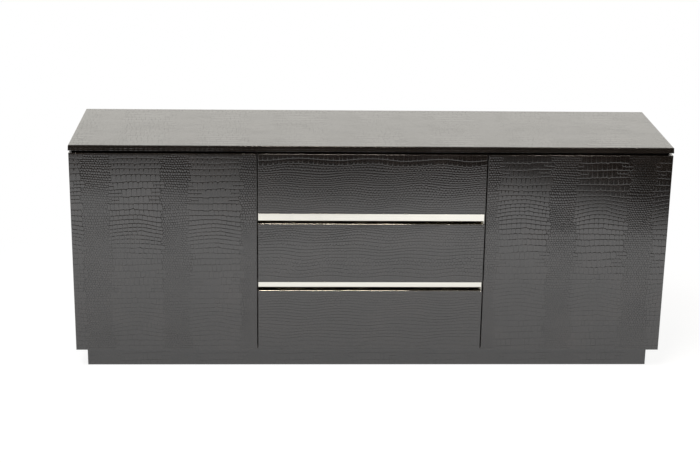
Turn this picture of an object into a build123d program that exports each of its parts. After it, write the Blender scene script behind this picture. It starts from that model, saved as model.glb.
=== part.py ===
"""Sideboard with two hinged doors, three drawers between them and a plinth.

The frame is in millimetres: X to the right, Y to the back, Z up.
The origin is on the floor, at the middle of the footprint, and the fronts face -Y.
"""

import os

from build123d import *

# Overall size
width = 2000.0
depth = 500.0
height = 790.0

# Board thicknesses
top_board = 18.0
carcass_board = 18.0
front_board = 20.0
shelf_board = 18.0
plinth_board = 18.0
back_board = 6.0
drawer_board = 15.0
drawer_bottom_board = 6.0

# Plinth, and the shadow gap under the top
plinth_height = 66.0
plinth_inset = 34.0
reveal_height = 9.0
reveal_inset = 7.0
spacer_width = 60.0

# Doors and drawer fronts
drawer_bay = 764.0
front_gap = 3.5
front_clearance = 4.0
front_lift = 2.0
edge_round = 1.5
top_front_height = 206.5
middle_front_height = 207.5

# Folded metal finger pulls along the two lower drawer fronts
upper_pull_opening = 34.5
lower_pull_opening = 29.5
pull_sheet = 1.2
pull_lip_width = 5.0
pull_lip_round = 1.1
pull_trough_depth = 14.0
pull_end_gap = 0.75
pull_top_gap = 2.0

# Drawer boxes
drawer_box_height = 150.0
drawer_back_gap = 34.0
drawer_box_lift = 22.0
drawer_groove_depth = 7.0
drawer_groove_lift = 12.0
drawer_groove_play = 0.2

# Telescopic runners, three sheet steel channels on each side of a drawer
runner_end_gap = 2.0
runner_height = 45.0
runner_depth = 12.5
runner_sheet = 1.2
runner_play = 1.6
runner_setback = 4.0
runner_lift = 50.0

# Shelves and their pins
shelf_height = 400.0
shelf_setback = 26.0
shelf_play = 1.0
shelf_back_gap = 4.0
shelf_pin_radius = 2.5
shelf_pin_depth = 10.0
shelf_pin_head_radius = 3.5
shelf_pin_head_length = 9.0
shelf_pin_edge = 60.0
shelf_pin_play = 0.1

# Concealed cup hinges, one vertical pin each
hinge_end_distance = 100.0
hinge_pin_from_edge = 9.0
hinge_pin_from_back = 11.0
hinge_pin_radius = 1.5
hinge_pin_length = 23.0
hinge_pin_play = 0.05
hinge_knuckle_radius = 3.2
hinge_arm_width = 10.0
hinge_arm_thickness = 4.0
hinge_arm_length = 92.0
hinge_arm_offset = 13.5
hinge_cup_radius = 17.5
hinge_cup_from_edge = 20.5
hinge_cup_depth = 15.5
hinge_cup_wall = 1.0
hinge_cup_floor = 0.8
hinge_ear_length = 52.0
hinge_ear_width = 17.0
hinge_ear_thickness = 1.2
hinge_plate_from_front = 16.0
hinge_plate_length = 45.0
hinge_plate_height = 44.0

# Push latches under the carcass top, one for each door
latch_from_partition = 36.0
latch_length = 70.0
latch_width = 18.0
latch_height = 16.0
latch_setback = 3.0
plunger_radius = 4.0
plunger_length = 48.0
plunger_play = 0.1
plunger_travel = 3.0
plunger_gap = 0.3
bore_spare = 4.0
strike_plate_width = 24.0
strike_plate_height = 14.0
strike_plate_thickness = 1.5

# Soft buffers behind the doors' free edges
buffer_radius = 4.0
buffer_gap = 0.3
buffer_from_edge = 40.0

# Dowels that join the boards
dowel_radius = 4.0
dowel_length = 35.0
dowel_in_face = 11.0
dowel_play = 0.1
dowel_end_play = 0.5
dowel_edge = 60.0
plinth_dowel_edge = 70.0

# Heights of the main levels
carcass_bottom = plinth_height
carcass_top = height - top_board - reveal_height
floor_level = carcass_bottom + carcass_board
ceiling_level = carcass_top - carcass_board

# Places from front to back
front_face = -depth / 2
front_back = front_face + front_board
carcass_front = front_back + front_clearance
back_face = depth / 2
inner_back = back_face - back_board
spacer_front = carcass_front + reveal_inset
spacer_back = back_face - reveal_inset
drawer_box_back = inner_back - drawer_back_gap
runner_front = carcass_front + runner_setback
runner_back = drawer_box_back - runner_end_gap

# Places from the middle to one side
outer = width / 2
side_inner = outer - carcass_board
bay_line = drawer_bay / 2
bay_inner = bay_line - carcass_board / 2
bay_outer = bay_line + carcass_board / 2
drawer_front_half = bay_line - front_gap / 2
door_inner = bay_line + front_gap / 2
drawer_box_half = bay_inner - runner_depth

# Lower and upper edges of the fronts, with each pull's ledge at its front's upper edge
front_bottom = carcass_bottom + front_lift
front_top = carcass_top
top_front = (front_top - top_front_height, front_top)
middle_front_top = top_front[0] - upper_pull_opening
middle_front = (middle_front_top - middle_front_height, middle_front_top)
bottom_front = (front_bottom, middle_front[0] - lower_pull_opening)
drawers = {"top": top_front, "middle": middle_front, "bottom": bottom_front}
pull_openings = {"middle": upper_pull_opening, "bottom": lower_pull_opening}

# Hinge pin line, as seen from a door's outer edge
pin_x = outer - hinge_pin_from_edge
pin_y = front_back - hinge_pin_from_back
hinge_heights = (front_bottom + hinge_end_distance, front_top - hinge_end_distance)

# Latch line, and the ends of the plunger that runs along it
latch_x = bay_outer + latch_from_partition
latch_z = ceiling_level - latch_height / 2
latch_front = carcass_front + latch_setback
strike_face = front_back + strike_plate_thickness
plunger_front = strike_face + plunger_gap
plunger_back = plunger_front + plunger_length

SIDES = {"left": -1, "right": 1}


def board(x, y, z):
    """A box between two places on each axis, given in either order."""
    spans = [sorted(span) for span in (x, y, z)]
    centre = [sum(span) / 2 for span in spans]
    size = [high - low for low, high in spans]
    return Pos(*centre) * Box(*size)


def rod(centre, axis, radius, length):
    """A cylinder about a centre, along the X, Y or Z axis."""
    turns = {"X": Rot(0, 90, 0), "Y": Rot(90, 0, 0), "Z": Rot(0, 0, 0)}
    return Pos(*centre) * turns[axis] * Cylinder(radius, length)


def round_edges(solid, side, radius):
    """The edges round the solid's lowest or highest face on one axis, rounded."""
    axis, index = side
    return fillet(solid.faces().sort_by(axis)[index].edges(), radius)


def dowel_places():
    """Each dowel's centre and axis: its longer end is in a board's edge, the rest in a face."""
    shift = dowel_length / 2 - dowel_in_face
    rows = (carcass_front + dowel_edge, 0.0, inner_back - dowel_edge)
    places = []
    for side in SIDES.values():
        for y in rows:
            for z in (carcass_bottom + carcass_board / 2, carcass_top - carcass_board / 2):
                places.append(((side * (side_inner - shift), y, z), "X"))
            for z in (floor_level + shift, ceiling_level - shift):
                places.append(((side * bay_line, y, z), "Z"))
        for y in (front_face + plinth_inset + plinth_board / 2, back_face - plinth_inset - plinth_board / 2):
            for x in (bay_line - plinth_dowel_edge, outer - plinth_inset - plinth_dowel_edge):
                places.append(((side * x, y, plinth_height - shift), "Z"))
    spacer_z = carcass_top + reveal_height / 2
    for x in (-bay_line, 0.0, bay_line):
        for y in (spacer_front + spacer_width / 2, spacer_back - spacer_width / 2):
            places.append(((x, y, spacer_z), "Z"))
    return places


dowel_spots = dowel_places()
dowel_holes = [
    rod(centre, axis, dowel_radius + dowel_play, dowel_length + 2 * dowel_end_play)
    for centre, axis in dowel_spots
]


def drilled(solid):
    """A board less the dowel holes that reach into it."""
    box = solid.bounding_box()
    reach = dowel_length
    near = [
        hole
        for hole in dowel_holes
        if all(
            low - reach < place < high + reach
            for low, place, high in zip(box.min, hole.center(), box.max)
        )
    ]
    return solid - near if near else solid


def plinth():
    """Four boards set in from the outline, and two rails under the partitions."""
    x = outer - plinth_inset
    front = front_face + plinth_inset
    back = back_face - plinth_inset
    z = (0, plinth_height)
    between = (front + plinth_board, back - plinth_board)
    nodes = {
        "plinth_front": drilled(board((-x, x), (front, front + plinth_board), z)),
        "plinth_back": drilled(board((-x, x), (back - plinth_board, back), z)),
    }
    for name, side in SIDES.items():
        nodes[f"plinth_{name}"] = board((side * (x - plinth_board), side * x), between, z)
    half = plinth_board / 2
    nodes["plinth_cross_rails"] = Compound(
        [board((s * bay_line - half, s * bay_line + half), between, z) for s in SIDES.values()]
    )
    return nodes


def shelf_pin(side, face, inward, y):
    """A pin whose stem is in a wall's face and whose head carries the shelf."""
    z = shelf_height - shelf_pin_head_radius
    stem_x = side * face - inward * shelf_pin_depth / 2
    head_x = side * face + inward * shelf_pin_head_length / 2
    stem = rod((stem_x, y, z), "X", shelf_pin_radius, shelf_pin_depth)
    return stem + rod((head_x, y, z), "X", shelf_pin_head_radius, shelf_pin_head_length)


def shelf_pin_rows():
    """The two places from front to back where pins carry a shelf."""
    shelf_front = carcass_front + shelf_setback
    shelf_back = inner_back - shelf_back_gap
    return (shelf_front + shelf_pin_edge, shelf_back - shelf_pin_edge)


def pin_hole(side, face, inward, y):
    """The hole for a shelf pin's stem."""
    z = shelf_height - shelf_pin_head_radius
    length = shelf_pin_depth + 2 * shelf_pin_play
    return rod(
        (side * face - inward * length / 2, y, z), "X", shelf_pin_radius + shelf_pin_play, length
    )


def carcass():
    """Sides, partitions, floor, ceiling and back of the cabinet."""
    y = (carcass_front, inner_back)
    nodes = {
        "bottom_panel": drilled(
            board((-side_inner, side_inner), y, (carcass_bottom, floor_level))
        ),
        "sub_top": drilled(board((-side_inner, side_inner), y, (ceiling_level, carcass_top))),
        "back_panel": board(
            (-side_inner, side_inner), (inner_back, back_face), (carcass_bottom, carcass_top)
        ),
    }
    for name, side in SIDES.items():
        panel = board(
            (side * side_inner, side * outer), (carcass_front, back_face), (carcass_bottom, carcass_top)
        )
        partition = board((side * bay_inner, side * bay_outer), y, (floor_level, ceiling_level))
        for row in shelf_pin_rows():
            panel -= pin_hole(side, side_inner, -side, row)
            partition -= pin_hole(side, bay_outer, side, row)
        nodes[f"{name}_side_panel"] = drilled(panel)
        nodes[f"{name}_partition"] = drilled(partition)
    return nodes


def top():
    """The top board on its recessed frame of spacer strips, which leaves the shadow gap."""
    x = outer - reveal_inset
    z = (carcass_top, carcass_top + reveal_height)
    ends = (spacer_front + spacer_width, spacer_back - spacer_width)
    strips = [
        board((-x, x), (spacer_front, spacer_front + spacer_width), z),
        board((-x, x), (spacer_back - spacer_width, spacer_back), z),
        board((-x, -x + spacer_width), ends, z),
        board((x - spacer_width, x), ends, z),
    ]
    slab = board((-outer, outer), (front_face, back_face), (height - top_board, height))
    slab = round_edges(slab, (Axis.Z, -1), edge_round)
    return {
        "top_spacer_strips": Compound([drilled(strip) for strip in strips]),
        "top_panel": drilled(slab),
    }


def shelves():
    """One shelf behind each door, on four pins."""
    nodes = {}
    pins = []
    y = (carcass_front + shelf_setback, inner_back - shelf_back_gap)
    z = (shelf_height, shelf_height + shelf_board)
    for name, side in SIDES.items():
        x = (side * (bay_outer + shelf_play), side * (side_inner - shelf_play))
        nodes[f"{name}_shelf"] = board(x, y, z)
        for row in shelf_pin_rows():
            pins.append(shelf_pin(side, side_inner, -side, row))
            pins.append(shelf_pin(side, bay_outer, side, row))
    nodes["shelf_pins"] = Compound(pins)
    return nodes


def front_panel(x, z):
    """A door or drawer front with its front edges rounded."""
    panel = board(x, (front_face, front_back), z)
    return round_edges(panel, (Axis.Y, 0), edge_round)


def hinge_cup(side, z):
    """The pressed steel cup in a door's back, with the two ears that are screwed to the door."""
    x = side * (outer - hinge_cup_from_edge)
    middle = front_back - hinge_cup_depth / 2
    ears = board(
        (x - hinge_ear_width / 2, x + hinge_ear_width / 2),
        (front_back, front_back + hinge_ear_thickness),
        (z - hinge_ear_length / 2, z + hinge_ear_length / 2),
    )
    shell = rod((x, middle, z), "Y", hinge_cup_radius, hinge_cup_depth)
    hollow_length = hinge_cup_depth - hinge_cup_floor + 2 * hinge_ear_thickness
    hollow_y = front_back - hinge_cup_depth + hinge_cup_floor + hollow_length / 2
    hollow = rod((x, hollow_y, z), "Y", hinge_cup_radius - hinge_cup_wall, hollow_length)
    return shell + ears - hollow


def cup_pocket(side, z):
    """The round pocket that a hinge cup fills."""
    x = side * (outer - hinge_cup_from_edge)
    return rod((x, front_back - hinge_cup_depth / 2, z), "Y", hinge_cup_radius, hinge_cup_depth)


def hinge_arm(side, z):
    """The cranked arm from the plate on a side panel round to the hinge pin."""
    half = hinge_arm_width / 2
    heights = (z - half, z + half)
    bar_inner = pin_x - hinge_arm_offset
    bar_outer = bar_inner - hinge_arm_thickness
    crank_back = pin_y + hinge_arm_thickness / 2
    crank_front = pin_y - hinge_arm_thickness / 2
    bar = board((side * bar_inner, side * bar_outer), (crank_front, crank_front + hinge_arm_length), heights)
    crank = board((side * pin_x, side * bar_outer), (crank_front, crank_back), heights)
    knuckle = rod((side * pin_x, pin_y, z), "Z", hinge_knuckle_radius, hinge_arm_width)
    bore = rod((side * pin_x, pin_y, z), "Z", hinge_pin_radius + hinge_pin_play, hinge_arm_width)
    return bar + crank + knuckle - bore


def hinge_plate(side, z):
    """The plate between a hinge arm and the side panel."""
    front = carcass_front + hinge_plate_from_front
    return board(
        (side * side_inner, side * (pin_x - hinge_arm_offset)),
        (front, front + hinge_plate_length),
        (z - hinge_plate_height / 2, z + hinge_plate_height / 2),
    )


def doors():
    """Both doors with their hinges, strike plates and buffers."""
    nodes = {}
    arms = []
    plates = []
    for name, side in SIDES.items():
        panel = front_panel((side * door_inner, side * outer), (front_bottom, front_top))
        for z in hinge_heights:
            panel -= cup_pocket(side, z)
            arms.append(hinge_arm(side, z))
            plates.append(hinge_plate(side, z))
        nodes[f"{name}_door"] = panel
        nodes[f"{name}_hinge_cups"] = Compound([hinge_cup(side, z) for z in hinge_heights])
        nodes[f"{name}_hinge_pins"] = Compound(
            [rod((side * pin_x, pin_y, z), "Z", hinge_pin_radius, hinge_pin_length) for z in hinge_heights]
        )
        half_width = strike_plate_width / 2
        half_height = strike_plate_height / 2
        nodes[f"{name}_strike_plate"] = board(
            (side * latch_x - half_width, side * latch_x + half_width),
            (front_back, strike_face),
            (latch_z - half_height, latch_z + half_height),
        )
        length = front_clearance - buffer_gap
        x = side * (door_inner + buffer_from_edge)
        levels = (carcass_bottom + carcass_board / 2, carcass_top - carcass_board / 2)
        nodes[f"{name}_door_buffers"] = Compound(
            [rod((x, front_back + length / 2, z), "Y", buffer_radius, length) for z in levels]
        )
    nodes["hinge_arms"] = Compound(arms)
    nodes["hinge_plates"] = Compound(plates)
    return nodes


def latches():
    """A push latch for each door: a closed body and the plunger that the door presses."""
    nodes = {}
    bodies = []
    bore_back = plunger_back + plunger_travel + bore_spare
    for name, side in SIDES.items():
        x = side * latch_x
        body = board(
            (x - latch_width / 2, x + latch_width / 2),
            (latch_front, latch_front + latch_length),
            (latch_z - latch_height / 2, latch_z + latch_height / 2),
        )
        bore_length = bore_back - plunger_front
        bore_y = (plunger_front + bore_back) / 2
        bodies.append(body - rod((x, bore_y, latch_z), "Y", plunger_radius + plunger_play, bore_length))
        plunger_y = (plunger_front + plunger_back) / 2
        nodes[f"{name}_latch_plunger"] = rod((x, plunger_y, latch_z), "Y", plunger_radius, plunger_length)
    nodes["latch_bodies"] = Compound(bodies)
    return nodes


def pull(front_upper, opening):
    """A folded metal strip: lip along the front's edge, trough for the fingertips and wall behind it."""
    half = drawer_front_half - pull_end_gap
    x = (-half, half)
    lip_back = front_face + pull_lip_width
    wall_back = front_back
    wall_face = wall_back - pull_sheet
    floor_top = front_upper - pull_trough_depth
    floor_under = floor_top - pull_sheet
    wall_top = front_upper + opening - pull_top_gap
    folds = [
        board(x, (lip_back - pull_sheet, lip_back), (floor_under, front_upper)),
        board(x, (lip_back - pull_sheet, wall_back), (floor_under, floor_top)),
        board(x, (wall_face, wall_back), (floor_under, wall_top)),
    ]
    strip = board(x, (front_face, lip_back), (front_upper - pull_sheet, front_upper))
    for fold in folds:
        strip += fold
    front_edges = strip.edges().filter_by(Axis.X).group_by(Axis.Y)[0]
    return fillet(front_edges.sort_by(Axis.Z)[-1], pull_lip_round)


def pull_seat(front_upper):
    """What a front loses at its upper edge: all but the tongue that the pull's lip lies on."""
    x = (-drawer_front_half, drawer_front_half)
    lip_back = front_face + pull_lip_width
    floor_under = front_upper - pull_trough_depth - pull_sheet
    over_tongue = board(x, (front_face, front_back), (front_upper - pull_sheet, front_upper))
    behind_tongue = board(x, (lip_back - pull_sheet, front_back), (floor_under, front_upper))
    return over_tongue + behind_tongue


def drawer(name, edges):
    """One drawer: its front, the five boards of its box and the inner runner channels."""
    lower, upper = edges
    half = drawer_box_half
    inner = half - drawer_board
    box_front = front_back
    box_back = drawer_box_back
    z = (lower + drawer_box_lift, lower + drawer_box_lift + drawer_box_height)
    groove_low = z[0] + drawer_groove_lift
    groove_high = groove_low + drawer_bottom_board + drawer_groove_play
    reach = inner + drawer_groove_depth
    groove_front = box_front + drawer_board - drawer_groove_depth
    groove = board((-reach, reach), (groove_front, box_back), (groove_low, groove_high))
    bottom_half = reach - drawer_groove_play
    front = front_panel((-drawer_front_half, drawer_front_half), edges)
    if name in pull_openings:
        front -= pull_seat(upper)
    nodes = {
        f"{name}_drawer_front": front,
        f"{name}_drawer_box_front": board((-inner, inner), (box_front, box_front + drawer_board), z) - groove,
        f"{name}_drawer_box_back": board(
            (-inner, inner), (box_back - drawer_board, box_back), (groove_high, z[1])
        ),
        f"{name}_drawer_bottom": board(
            (-bottom_half, bottom_half),
            (groove_front + drawer_groove_play, box_back),
            (groove_low, groove_low + drawer_bottom_board),
        ),
    }
    for side_name, side in SIDES.items():
        wall = board((side * inner, side * half), (box_front, box_back), z)
        nodes[f"{name}_drawer_{side_name}_side"] = wall - groove
    if name in pull_openings:
        nodes[f"{name}_drawer_pull"] = pull(upper, pull_openings[name])
    return nodes


def channel(side, web, flange_end, outer_height, z):
    """A sheet steel channel along a drawer, its web and its flanges' ends given as depths from the partition."""
    x_web = side * (bay_inner - web)
    to_drawer = flange_end > web
    x_inside = x_web - side * runner_sheet if to_drawer else x_web + side * runner_sheet
    x_end = side * (bay_inner - flange_end)
    y = (runner_front, runner_back)
    low, high = z - outer_height / 2, z + outer_height / 2
    web_sheet = board((x_web, x_inside), y, (low, high))
    flanges = [
        board((x_web, x_end), y, (low, low + runner_sheet)),
        board((x_web, x_end), y, (high - runner_sheet, high)),
    ]
    return web_sheet + flanges[0] + flanges[1]


def runners():
    """Telescopic runners: a channel on the partition, one on the drawer and one that slides between."""
    nodes = {}
    fixed = []
    step = runner_sheet + runner_play
    flange_end = runner_depth - step
    for name, (lower, _) in drawers.items():
        z = lower + drawer_box_lift + runner_lift
        middle_height = runner_height - 2 * step
        inner_height = middle_height - 2 * step
        fixed += [channel(s, 0.0, flange_end, runner_height, z) for s in SIDES.values()]
        nodes[f"{name}_runner_middles"] = Compound(
            [channel(s, step, flange_end, middle_height, z) for s in SIDES.values()]
        )
        nodes[f"{name}_runner_inners"] = Compound(
            [channel(s, runner_depth, 2 * step, inner_height, z) for s in SIDES.values()]
        )
    nodes["runner_outers"] = Compound(fixed)
    return nodes


def dowels():
    """Every dowel of the cabinet as one group of pieces."""
    return {
        "carcass_dowels": Compound(
            [rod(centre, axis, dowel_radius, dowel_length) for centre, axis in dowel_spots]
        )
    }


def main():
    """Makes every node and writes each to its own file."""
    nodes = {}
    for made in (plinth(), carcass(), top(), shelves(), doors(), latches(), runners(), dowels()):
        nodes.update(made)
    for name, edges in drawers.items():
        nodes.update(drawer(name, edges))
    os.makedirs("parts", exist_ok=True)
    for name, shape in nodes.items():
        export_step(shape, f"parts/{name}.step")
    print(len(nodes), "nodes")


main()
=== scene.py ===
"""Dresses the sideboard's solids: embossed hide covering, metal pulls, boards and fittings."""

import math
import random

import bpy
from bpy.props import FloatProperty, FloatVectorProperty, PointerProperty
from mathutils import Matrix, Vector, noise


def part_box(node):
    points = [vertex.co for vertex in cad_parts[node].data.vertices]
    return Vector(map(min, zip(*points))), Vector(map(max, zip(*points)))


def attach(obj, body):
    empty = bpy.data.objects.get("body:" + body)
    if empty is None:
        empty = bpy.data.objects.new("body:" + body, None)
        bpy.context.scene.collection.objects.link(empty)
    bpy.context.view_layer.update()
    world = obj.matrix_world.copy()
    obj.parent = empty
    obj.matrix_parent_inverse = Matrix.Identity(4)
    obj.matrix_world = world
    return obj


bl_info = {
    "name": "Embossed Sideboard",
    "version": (1, 0, 0),
    "blender": (4, 5, 0),
    "location": "View3D > Sidebar > Sideboard",
    "description": "Covers, metal, boards and fittings of a sideboard",
    "category": "Object",
}

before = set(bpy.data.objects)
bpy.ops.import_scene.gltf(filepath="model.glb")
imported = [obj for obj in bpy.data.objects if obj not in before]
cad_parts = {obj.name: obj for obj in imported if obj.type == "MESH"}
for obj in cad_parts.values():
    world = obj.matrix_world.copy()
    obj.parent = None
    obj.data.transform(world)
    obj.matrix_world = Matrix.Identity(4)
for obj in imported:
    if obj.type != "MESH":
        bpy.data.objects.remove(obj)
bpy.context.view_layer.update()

DRAWERS = ("top", "middle", "bottom")
SIDES = ("left", "right")

# Directions as seen from the front
RIGHT = Vector((1, 0, 0))
BACK = Vector((0, 1, 0))
UP = Vector((0, 0, 1))


class HideSettings(bpy.types.PropertyGroup):
    """The embossed covering of the fronts, top, sides and plinth."""

    belly_width: FloatProperty(
        name="Belly Width", description="Width of a column of broad scales", default=0.174, unit="LENGTH"
    )
    flank_width: FloatProperty(
        name="Flank Width", description="Width of a column of small scales", default=0.088, unit="LENGTH"
    )
    belly_scale: FloatProperty(
        name="Broad Scale", description="Width of one broad scale", default=0.0165, unit="LENGTH"
    )
    flank_scale: FloatProperty(
        name="Small Scale", description="Width of one small scale", default=0.0085, unit="LENGTH"
    )
    row_height: FloatProperty(
        name="Row Height", description="Mean height of a row of broad scales", default=0.0195, unit="LENGTH"
    )
    row_swing: FloatProperty(
        name="Row Swing", description="How much taller the tallest rows are than the mean", default=0.33
    )
    row_repeat: FloatProperty(
        name="Row Repeat", description="Distance after which the rows repeat", default=0.313, unit="LENGTH"
    )
    arch: FloatProperty(
        name="Arch",
        description="Rise of the low rows at the middle of a belly column",
        default=0.008,
        unit="LENGTH",
    )
    row_cut: FloatProperty(
        name="Row Cut",
        description="Half width of the sharp cut between broad rows",
        default=0.00038,
        unit="LENGTH",
    )
    scale_cut: FloatProperty(
        name="Scale Cut",
        description="Half width of the sharp cut within a broad row",
        default=0.00032,
        unit="LENGTH",
    )
    flank_cut: FloatProperty(
        name="Flank Cut",
        description="Half width of the sharp cut round small scales",
        default=0.00043,
        unit="LENGTH",
    )
    cut_depth: FloatProperty(
        name="Cut Depth",
        description="Depth of the sharp cut between scales",
        default=0.00035,
        unit="LENGTH",
    )
    row_shoulder: FloatProperty(
        name="Row Shoulder",
        description="Width of a scale's slope to the next row",
        default=0.0015,
        unit="LENGTH",
    )
    scale_shoulder: FloatProperty(
        name="Scale Shoulder",
        description="Width of a scale's slope within a row",
        default=0.0011,
        unit="LENGTH",
    )
    flank_shoulder: FloatProperty(
        name="Flank Shoulder", description="Width of a small scale's slope", default=0.0022, unit="LENGTH"
    )
    shoulder_rise: FloatProperty(
        name="Shoulder Rise", description="Rise of a broad scale's slopes", default=0.00018, unit="LENGTH"
    )
    flank_rise: FloatProperty(
        name="Flank Rise", description="Rise of a small scale's slopes", default=0.00022, unit="LENGTH"
    )
    crown: FloatProperty(
        name="Crown",
        description="Rise of a small scale's middle over its rim",
        default=0.00006,
        unit="LENGTH",
    )
    colour: FloatVectorProperty(
        name="Colour",
        description="Main colour of the covering",
        subtype="COLOR",
        default=(0.0055, 0.0043, 0.0037),
    )
    bloom_colour: FloatVectorProperty(
        name="Bloom", description="Paler tone in patches", subtype="COLOR", default=(0.0085, 0.0066, 0.0057)
    )


class MetalSettings(bpy.types.PropertyGroup):
    """The plated and plain metals."""

    pull_colour: FloatVectorProperty(
        name="Pulls",
        description="Polished plate on the finger pulls",
        subtype="COLOR",
        default=(0.97, 0.945, 0.865),
    )
    hinge_colour: FloatVectorProperty(
        name="Hinges", description="Nickel plate on the hinges", subtype="COLOR", default=(0.62, 0.60, 0.57)
    )
    runner_colour: FloatVectorProperty(
        name="Runners", description="Zinc plate on the runners", subtype="COLOR", default=(0.55, 0.56, 0.58)
    )


class BoardSettings(bpy.types.PropertyGroup):
    """The boards inside."""

    inner_colour: FloatVectorProperty(
        name="Inside",
        description="Laminate of the inner boards",
        subtype="COLOR",
        default=(0.055, 0.050, 0.046),
    )
    drawer_colour: FloatVectorProperty(
        name="Drawers",
        description="Laminate of the drawer boxes",
        subtype="COLOR",
        default=(0.17, 0.16, 0.15),
    )
    beech_colour: FloatVectorProperty(
        name="Dowels", description="Beech of the dowels", subtype="COLOR", default=(0.62, 0.43, 0.26)
    )
    plastic_colour: FloatVectorProperty(
        name="Plastic", description="Latches and buffers", subtype="COLOR", default=(0.10, 0.10, 0.10)
    )


class StageSettings(bpy.types.PropertyGroup):
    """Camera, floor and light."""

    camera_place: FloatVectorProperty(
        name="Camera",
        description="Where the camera stands",
        subtype="TRANSLATION",
        default=(-0.2824, -5.2687, 2.1425),
    )
    camera_turn: FloatProperty(
        name="Turn", description="Camera turned to the right", subtype="ANGLE", default=math.radians(2.396)
    )
    camera_tilt: FloatProperty(
        name="Tilt", description="Camera tilted down", subtype="ANGLE", default=math.radians(18.151)
    )
    camera_roll: FloatProperty(
        name="Roll", description="Camera rolled", subtype="ANGLE", default=math.radians(0.910)
    )
    lens: FloatProperty(name="Lens", description="Focal length in millimetres", default=81.17)
    floor_colour: FloatVectorProperty(
        name="Floor", description="Pale floor", subtype="COLOR", default=(0.86, 0.855, 0.845)
    )
    floor_glow: FloatProperty(
        name="Floor Glow",
        description="How much of the floor's white is free of shadow",
        subtype="FACTOR",
        default=0.88,
    )
    key_power: FloatProperty(name="Key", description="Power of the large lamp", default=260.0, unit="POWER")
    fill_power: FloatProperty(
        name="Fill", description="Power of the front lamp", default=90.0, unit="POWER"
    )
    glint_power: FloatProperty(name="Glint", description="Power of the small lamps per metre", default=46.0)


class SideboardSettings(bpy.types.PropertyGroup):
    """Everything a user may change."""

    hide: PointerProperty(type=HideSettings)
    metal: PointerProperty(type=MetalSettings)
    boards: PointerProperty(type=BoardSettings)
    stage: PointerProperty(type=StageSettings)


# Node trees


def node(tree, kind, inputs=None, **settings):
    """A new node with its settings, and its inputs set to values or linked to sockets."""
    made = tree.nodes.new(kind)
    for key, value in settings.items():
        setattr(made, key, value)
    for key, value in (inputs or {}).items():
        if isinstance(value, bpy.types.NodeSocket):
            tree.links.new(value, made.inputs[key])
        else:
            made.inputs[key].default_value = value
    return made


def new_group(name, inputs, outputs):
    """An empty shader node group with named float inputs and float outputs."""
    tree = bpy.data.node_groups.new(name, "ShaderNodeTree")
    for label, default in inputs.items():
        socket = tree.interface.new_socket(label, in_out="INPUT", socket_type="NodeSocketFloat")
        socket.default_value = default
    for label in outputs:
        tree.interface.new_socket(label, in_out="OUTPUT", socket_type="NodeSocketFloat")
    entry = tree.nodes.new("NodeGroupInput")
    leave = tree.nodes.new("NodeGroupOutput")
    return tree, entry.outputs, leave.inputs


def ramp(tree, factor, low, high):
    """The factor stretched softly so that low becomes 0 and high becomes 1."""
    inputs = {"Value": factor, "From Min": low, "From Max": high}
    return node(tree, "ShaderNodeMapRange", inputs, interpolation_type="SMOOTHSTEP").outputs["Result"]


def span(tree, factor, low, high, reach=(0.0, 1.0)):
    """A value that goes evenly from low to high while the factor goes through its reach."""
    inputs = {"Value": factor, "From Min": reach[0], "From Max": reach[1], "To Min": low, "To Max": high}
    return node(tree, "ShaderNodeMapRange", inputs).outputs["Result"]


def maths(tree, operation, first, second):
    """What an operation makes of two values."""
    return node(tree, "ShaderNodeMath", {0: first, 1: second}, operation=operation).outputs["Value"]


def vectors(tree, operation, first, second):
    """The vector that an operation makes of two vectors."""
    return node(tree, "ShaderNodeVectorMath", {0: first, 1: second}, operation=operation).outputs["Vector"]


def scaled(tree, vector, factor):
    """A vector times a value."""
    made = node(tree, "ShaderNodeVectorMath", {0: vector, "Scale": factor}, operation="SCALE")
    return made.outputs["Vector"]


def dot(tree, first, second):
    """How far one vector goes along another."""
    made = node(tree, "ShaderNodeVectorMath", {0: first, 1: second}, operation="DOT_PRODUCT")
    return made.outputs["Value"]


def length_of(tree, vector):
    """A vector's length."""
    return node(tree, "ShaderNodeVectorMath", {0: vector}, operation="LENGTH").outputs["Value"]


def soft_noise(tree, where, scale, detail):
    """Outputs of a soft noise."""
    return node(tree, "ShaderNodeTexNoise", {"Vector": where, "Scale": scale, "Detail": detail}).outputs


def place(tree):
    """Places on the object in metres."""
    return node(tree, "ShaderNodeTexCoord").outputs["Object"]


def handling_group():
    """Patches where hands and dusters have dulled a surface, and fine dust specks."""
    inputs = {"Patch Scale": 6.0, "Speck Scale": 900.0}
    tree, entry, leave = new_group("Handling", inputs, ("Dull", "Specks"))
    where = place(tree)
    broad = soft_noise(tree, where, entry["Patch Scale"], detail=5.0)["Fac"]
    tree.links.new(ramp(tree, broad, low=0.38, high=0.68), leave["Dull"])
    fine = soft_noise(tree, where, entry["Speck Scale"], detail=2.0)["Fac"]
    tree.links.new(ramp(tree, fine, low=0.60, high=0.78), leave["Specks"])
    return tree


def streak_group():
    """Fine lines along one axis, for brushed metal and for laminate grain."""
    inputs = {"Along X": 4.0, "Along Y": 400.0, "Along Z": 400.0, "Waver": 0.0}
    tree, entry, leave = new_group("Streaks", inputs, ("Lines",))
    axes = {axis: entry[f"Along {axis}"] for axis in "XYZ"}
    stretch = node(tree, "ShaderNodeCombineXYZ", axes).outputs["Vector"]
    where = place(tree)
    bend = soft_noise(tree, where, scale=3.0, detail=2.0)["Color"]
    moved = vectors(tree, "ADD", where, scaled(tree, bend, entry["Waver"]))
    lines = soft_noise(tree, vectors(tree, "MULTIPLY", moved, stretch), scale=1.0, detail=6.0)["Fac"]
    tree.links.new(ramp(tree, lines, low=0.3, high=0.7), leave["Lines"])
    return tree


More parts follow.
